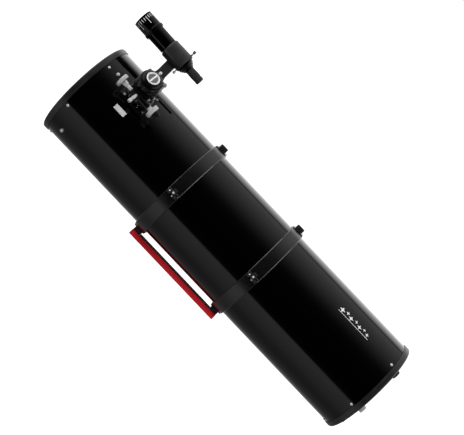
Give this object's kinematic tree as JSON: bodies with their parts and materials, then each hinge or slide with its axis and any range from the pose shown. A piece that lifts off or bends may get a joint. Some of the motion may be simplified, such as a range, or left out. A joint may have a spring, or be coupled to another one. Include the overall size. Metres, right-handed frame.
{
  "type": "newtonian telescope tube assembly",
  "caption": "Newtonian reflector tube held in hinged rings on a dovetail rail, with a two-speed focuser, a finder scope and an adjustable mirror cell.",
  "frame": {"origin": "centre of the dovetail rail's lower face", "axes": "+X along the tube from its open front towards the primary mirror, +Z from the rail up to the tube, -Y the side that the focuser and the ring hinges face"},
  "size_m": [1.1353, 0.3699, 0.4591],
  "materials": {
    "tube_gloss": "gloss black enamel on rolled steel",
    "end_casting": "textured dark grey powder coat on castings",
    "satin_black": "satin black powder coat",
    "ring_black": "satin black anodised cast aluminium",
    "focuser_black": "satin black anodised aluminium",
    "finder_black": "gloss black enamel",
    "bright_metal": "nickel plated, turned and knurled",
    "silver_knob": "satin anodised, ribbed grip",
    "mirror_coating": "aluminised front surface on ground glass",
    "lens_glass": "coated optical glass",
    "rubber": "matt rubber",
    "knob_plastic": "moulded black plastic with a ribbed grip",
    "red_anodised": "red anodised extrusion",
    "label_silver": "blank satin aluminium foil"
  },
  "bodies": {
    "saddle": {"dovetail_rail": "red_anodised", "spacer_front": "satin_black", "spacer_rear": "satin_black", "ring_lower_front": "ring_black", "ring_lower_rear": "ring_black", "hinge_pin_front": "bright_metal", "hinge_pin_rear": "bright_metal"},
    "tube": {"tube": "tube_gloss", "front_ring": "end_casting", "rear_ring": "end_casting", "spider": "satin_black", "spider_nut_1": "bright_metal", "spider_nut_2": "bright_metal", "spider_nut_3": "bright_metal", "spider_nut_4": "bright_metal", "secondary_bolt": "bright_metal", "focuser_base": "focuser_black", "focuser_body": "focuser_black", "finder_shoe": "satin_black", "label_plate": "label_silver"},
    "ring_front": {"ring_upper_front": "ring_black"},
    "ring_rear": {"ring_upper_rear": "ring_black"},
    "clamp_front": {"clamp_screw_front": "knob_plastic"},
    "clamp_rear": {"clamp_screw_rear": "knob_plastic"},
    "knob_front": {"top_knob_front": "knob_plastic"},
    "knob_rear": {"top_knob_rear": "knob_plastic"},
    "mirror_cell": {"mirror_cell": "end_casting", "primary_mirror": "mirror_coating", "mirror_clip_1": "satin_black", "mirror_clip_2": "satin_black", "mirror_clip_3": "satin_black"},
    "secondary": {"secondary_holder": "satin_black", "secondary_mirror": "mirror_coating"},
    "drawtube": {"drawtube": "focuser_black"},
    "adapter": {"eyepiece_adapter": "focuser_black"},
    "plug": {"dust_plug": "bright_metal"},
    "drawtube_clamp": {"drawtube_thumbscrew": "bright_metal"},
    "adapter_clamp": {"adapter_thumbscrew": "bright_metal"},
    "coarse_focus": {"focus_shaft": "bright_metal", "focus_knob_front": "silver_knob", "focus_knob_rear": "silver_knob"},
    "fine_focus": {"fine_focus_knob": "focuser_black"},
    "tension": {"tension_screw": "bright_metal"},
    "finder_bracket": {"finder_bracket": "satin_black"},
    "finder_clamp": {"finder_shoe_screw": "bright_metal"},
    "finder_gimbal": {"finder_o_ring": "rubber"},
    "finder": {"finder_tube": "finder_black", "finder_eyepiece": "satin_black"},
    "finder_objective": {"finder_dew_shield": "finder_black", "finder_objective": "lens_glass"},
    "finder_screw_top": {"finder_screw_top": "bright_metal"},
    "finder_screw_side": {"finder_screw_side": "bright_metal"},
    "finder_plunger": {"finder_plunger": "bright_metal"},
    "collimation_1": {"collimation_knob_1": "knob_plastic"},
    "lock_1": {"collimation_lock_1": "bright_metal"},
    "collimation_2": {"collimation_knob_2": "knob_plastic"},
    "lock_2": {"collimation_lock_2": "bright_metal"},
    "collimation_3": {"collimation_knob_3": "knob_plastic"},
    "lock_3": {"collimation_lock_3": "bright_metal"}
  },
  "joints": [
    {"name": "tube_turn", "type": "hinge", "parent": "saddle", "child": "tube", "pos_m": [0, 0, 0.1783], "axis": [1, 0, 0], "continuous": true},
    {"name": "ring_front_open", "type": "hinge", "parent": "saddle", "child": "ring_front", "pos_m": [-0.1463, -0.1565, 0.1783], "axis": [1, 0, 0], "range_deg": [0, 100]},
    {"name": "clamp_front_turn", "type": "hinge", "parent": "ring_front", "child": "clamp_front", "pos_m": [-0.1463, 0.161, 0.1783], "axis": [0, 0, 1], "continuous": true},
    {"name": "top_knob_front_turn", "type": "hinge", "parent": "ring_front", "child": "knob_front", "pos_m": [-0.1463, 0, 0.3298], "axis": [0, 0, 1], "continuous": true},
    {"name": "ring_rear_open", "type": "hinge", "parent": "saddle", "child": "ring_rear", "pos_m": [0.1463, -0.1565, 0.1783], "axis": [1, 0, 0], "range_deg": [0, 100]},
    {"name": "clamp_rear_turn", "type": "hinge", "parent": "ring_rear", "child": "clamp_rear", "pos_m": [0.1463, 0.161, 0.1783], "axis": [0, 0, 1], "continuous": true},
    {"name": "top_knob_rear_turn", "type": "hinge", "parent": "ring_rear", "child": "knob_rear", "pos_m": [0.1463, 0, 0.3298], "axis": [0, 0, 1], "continuous": true},
    {"name": "mirror_tilt", "type": "hinge", "parent": "tube", "child": "mirror_cell", "pos_m": [0.5439, 0, 0.1783], "axis": [0, 1, 0], "range_deg": [-1, 1]},
    {"name": "collimation_1_turn", "type": "hinge", "parent": "tube", "child": "collimation_1", "pos_m": [0.58, -0.06671, 0.26068], "axis": [1, 0, 0], "continuous": true},
    {"name": "lock_1_turn", "type": "hinge", "parent": "tube", "child": "lock_1", "pos_m": [0.58, -0.09896, 0.14031], "axis": [1, 0, 0], "continuous": true},
    {"name": "collimation_2_turn", "type": "hinge", "parent": "tube", "child": "collimation_2", "pos_m": [0.58, 0.10469, 0.19488], "axis": [1, 0, 0], "continuous": true},
    {"name": "lock_2_turn", "type": "hinge", "parent": "tube", "child": "lock_2", "pos_m": [0.58, 0.01658, 0.28299], "axis": [1, 0, 0], "continuous": true},
    {"name": "collimation_3_turn", "type": "hinge", "parent": "tube", "child": "collimation_3", "pos_m": [0.58, -0.03799, 0.07934], "axis": [1, 0, 0], "continuous": true},
    {"name": "lock_3_turn", "type": "hinge", "parent": "tube", "child": "lock_3", "pos_m": [0.58, 0.08238, 0.11159], "axis": [1, 0, 0], "continuous": true},
    {"name": "secondary_turn", "type": "hinge", "parent": "tube", "child": "secondary", "pos_m": [-0.45, 0, 0.1783], "axis": [1, 0, 0], "continuous": true},
    {"name": "focus_slide", "type": "slide", "parent": "tube", "child": "drawtube", "axis": [0, -0.7314, 0.682], "range_m": [-0.002, 0.04]},
    {"name": "adapter_slide", "type": "slide", "parent": "drawtube", "child": "adapter", "axis": [0, -0.7314, 0.682], "range_m": [0, 0.03]},
    {"name": "plug_slide", "type": "slide", "parent": "adapter", "child": "plug", "axis": [0, -0.7314, 0.682], "range_m": [0, 0.03]},
    {"name": "drawtube_clamp_turn", "type": "hinge", "parent": "drawtube", "child": "drawtube_clamp", "pos_m": [-0.386, -0.1609, 0.32834], "axis": [0.7071, 0.4822, 0.5171], "continuous": true},
    {"name": "adapter_clamp_turn", "type": "hinge", "parent": "adapter", "child": "adapter_clamp", "pos_m": [-0.386, -0.15435, 0.35956], "axis": [0, 0.682, 0.7314], "continuous": true},
    {"name": "coarse_focus_turn", "type": "hinge", "parent": "tube", "child": "coarse_focus", "pos_m": [-0.386, -0.16424, 0.28223], "axis": [1, 0, 0], "range_deg": [-30, 500]},
    {"name": "fine_focus_turn", "type": "hinge", "parent": "tube", "child": "fine_focus", "pos_m": [-0.386, -0.16424, 0.28223], "axis": [1, 0, 0], "range_deg": [-300, 5000]},
    {"name": "tension_turn", "type": "hinge", "parent": "tube", "child": "tension", "pos_m": [-0.386, -0.17418, 0.2833], "axis": [0, -0.682, -0.7314], "continuous": true},
    {"name": "finder_bracket_slide", "type": "slide", "parent": "tube", "child": "finder_bracket", "axis": [1, 0, 0], "range_m": [-0.06, 0]},
    {"name": "finder_clamp_turn", "type": "hinge", "parent": "tube", "child": "finder_clamp", "pos_m": [-0.402, -0.02609, 0.33331], "axis": [0, -0.999, -0.0436], "continuous": true},
    {"name": "finder_tilt", "type": "hinge", "parent": "finder_bracket", "child": "finder_gimbal", "pos_m": [-0.4325, -0.01036, 0.41567], "axis": [0, 0.999, 0.0436], "range_deg": [-1, 1]},
    {"name": "finder_pan", "type": "hinge", "parent": "finder_gimbal", "child": "finder", "pos_m": [-0.4325, -0.01036, 0.41567], "axis": [0, -0.0436, 0.999], "range_deg": [-1, 1]},
    {"name": "finder_focus_turn", "type": "hinge", "parent": "finder", "child": "finder_objective", "pos_m": [-0.4325, -0.01036, 0.41567], "axis": [0.9997, 0.0011, -0.0253], "continuous": true},
    {"name": "finder_screw_top_turn", "type": "hinge", "parent": "finder_bracket", "child": "finder_screw_top", "pos_m": [-0.38, -0.01158, 0.44345], "axis": [0, -0.0436, 0.999], "continuous": true},
    {"name": "finder_screw_side_turn", "type": "hinge", "parent": "finder_bracket", "child": "finder_screw_side", "pos_m": [-0.38, 0.01532, 0.40503], "axis": [0, 0.9239, -0.3827], "continuous": true},
    {"name": "finder_plunger_pull", "type": "slide", "parent": "finder_bracket", "child": "finder_plunger", "axis": [0, -0.2672, -0.9636], "range_m": [0, 0.003], "stiffness_N_per_m": 400, "springref_m": -0.012}
  ],
  "couplings": [
    {"joint": "coarse_focus_turn", "follows": "focus_slide", "rad_per_m": 212.77},
    {"joint": "fine_focus_turn", "follows": "focus_slide", "rad_per_m": 2127.7}
  ]
}
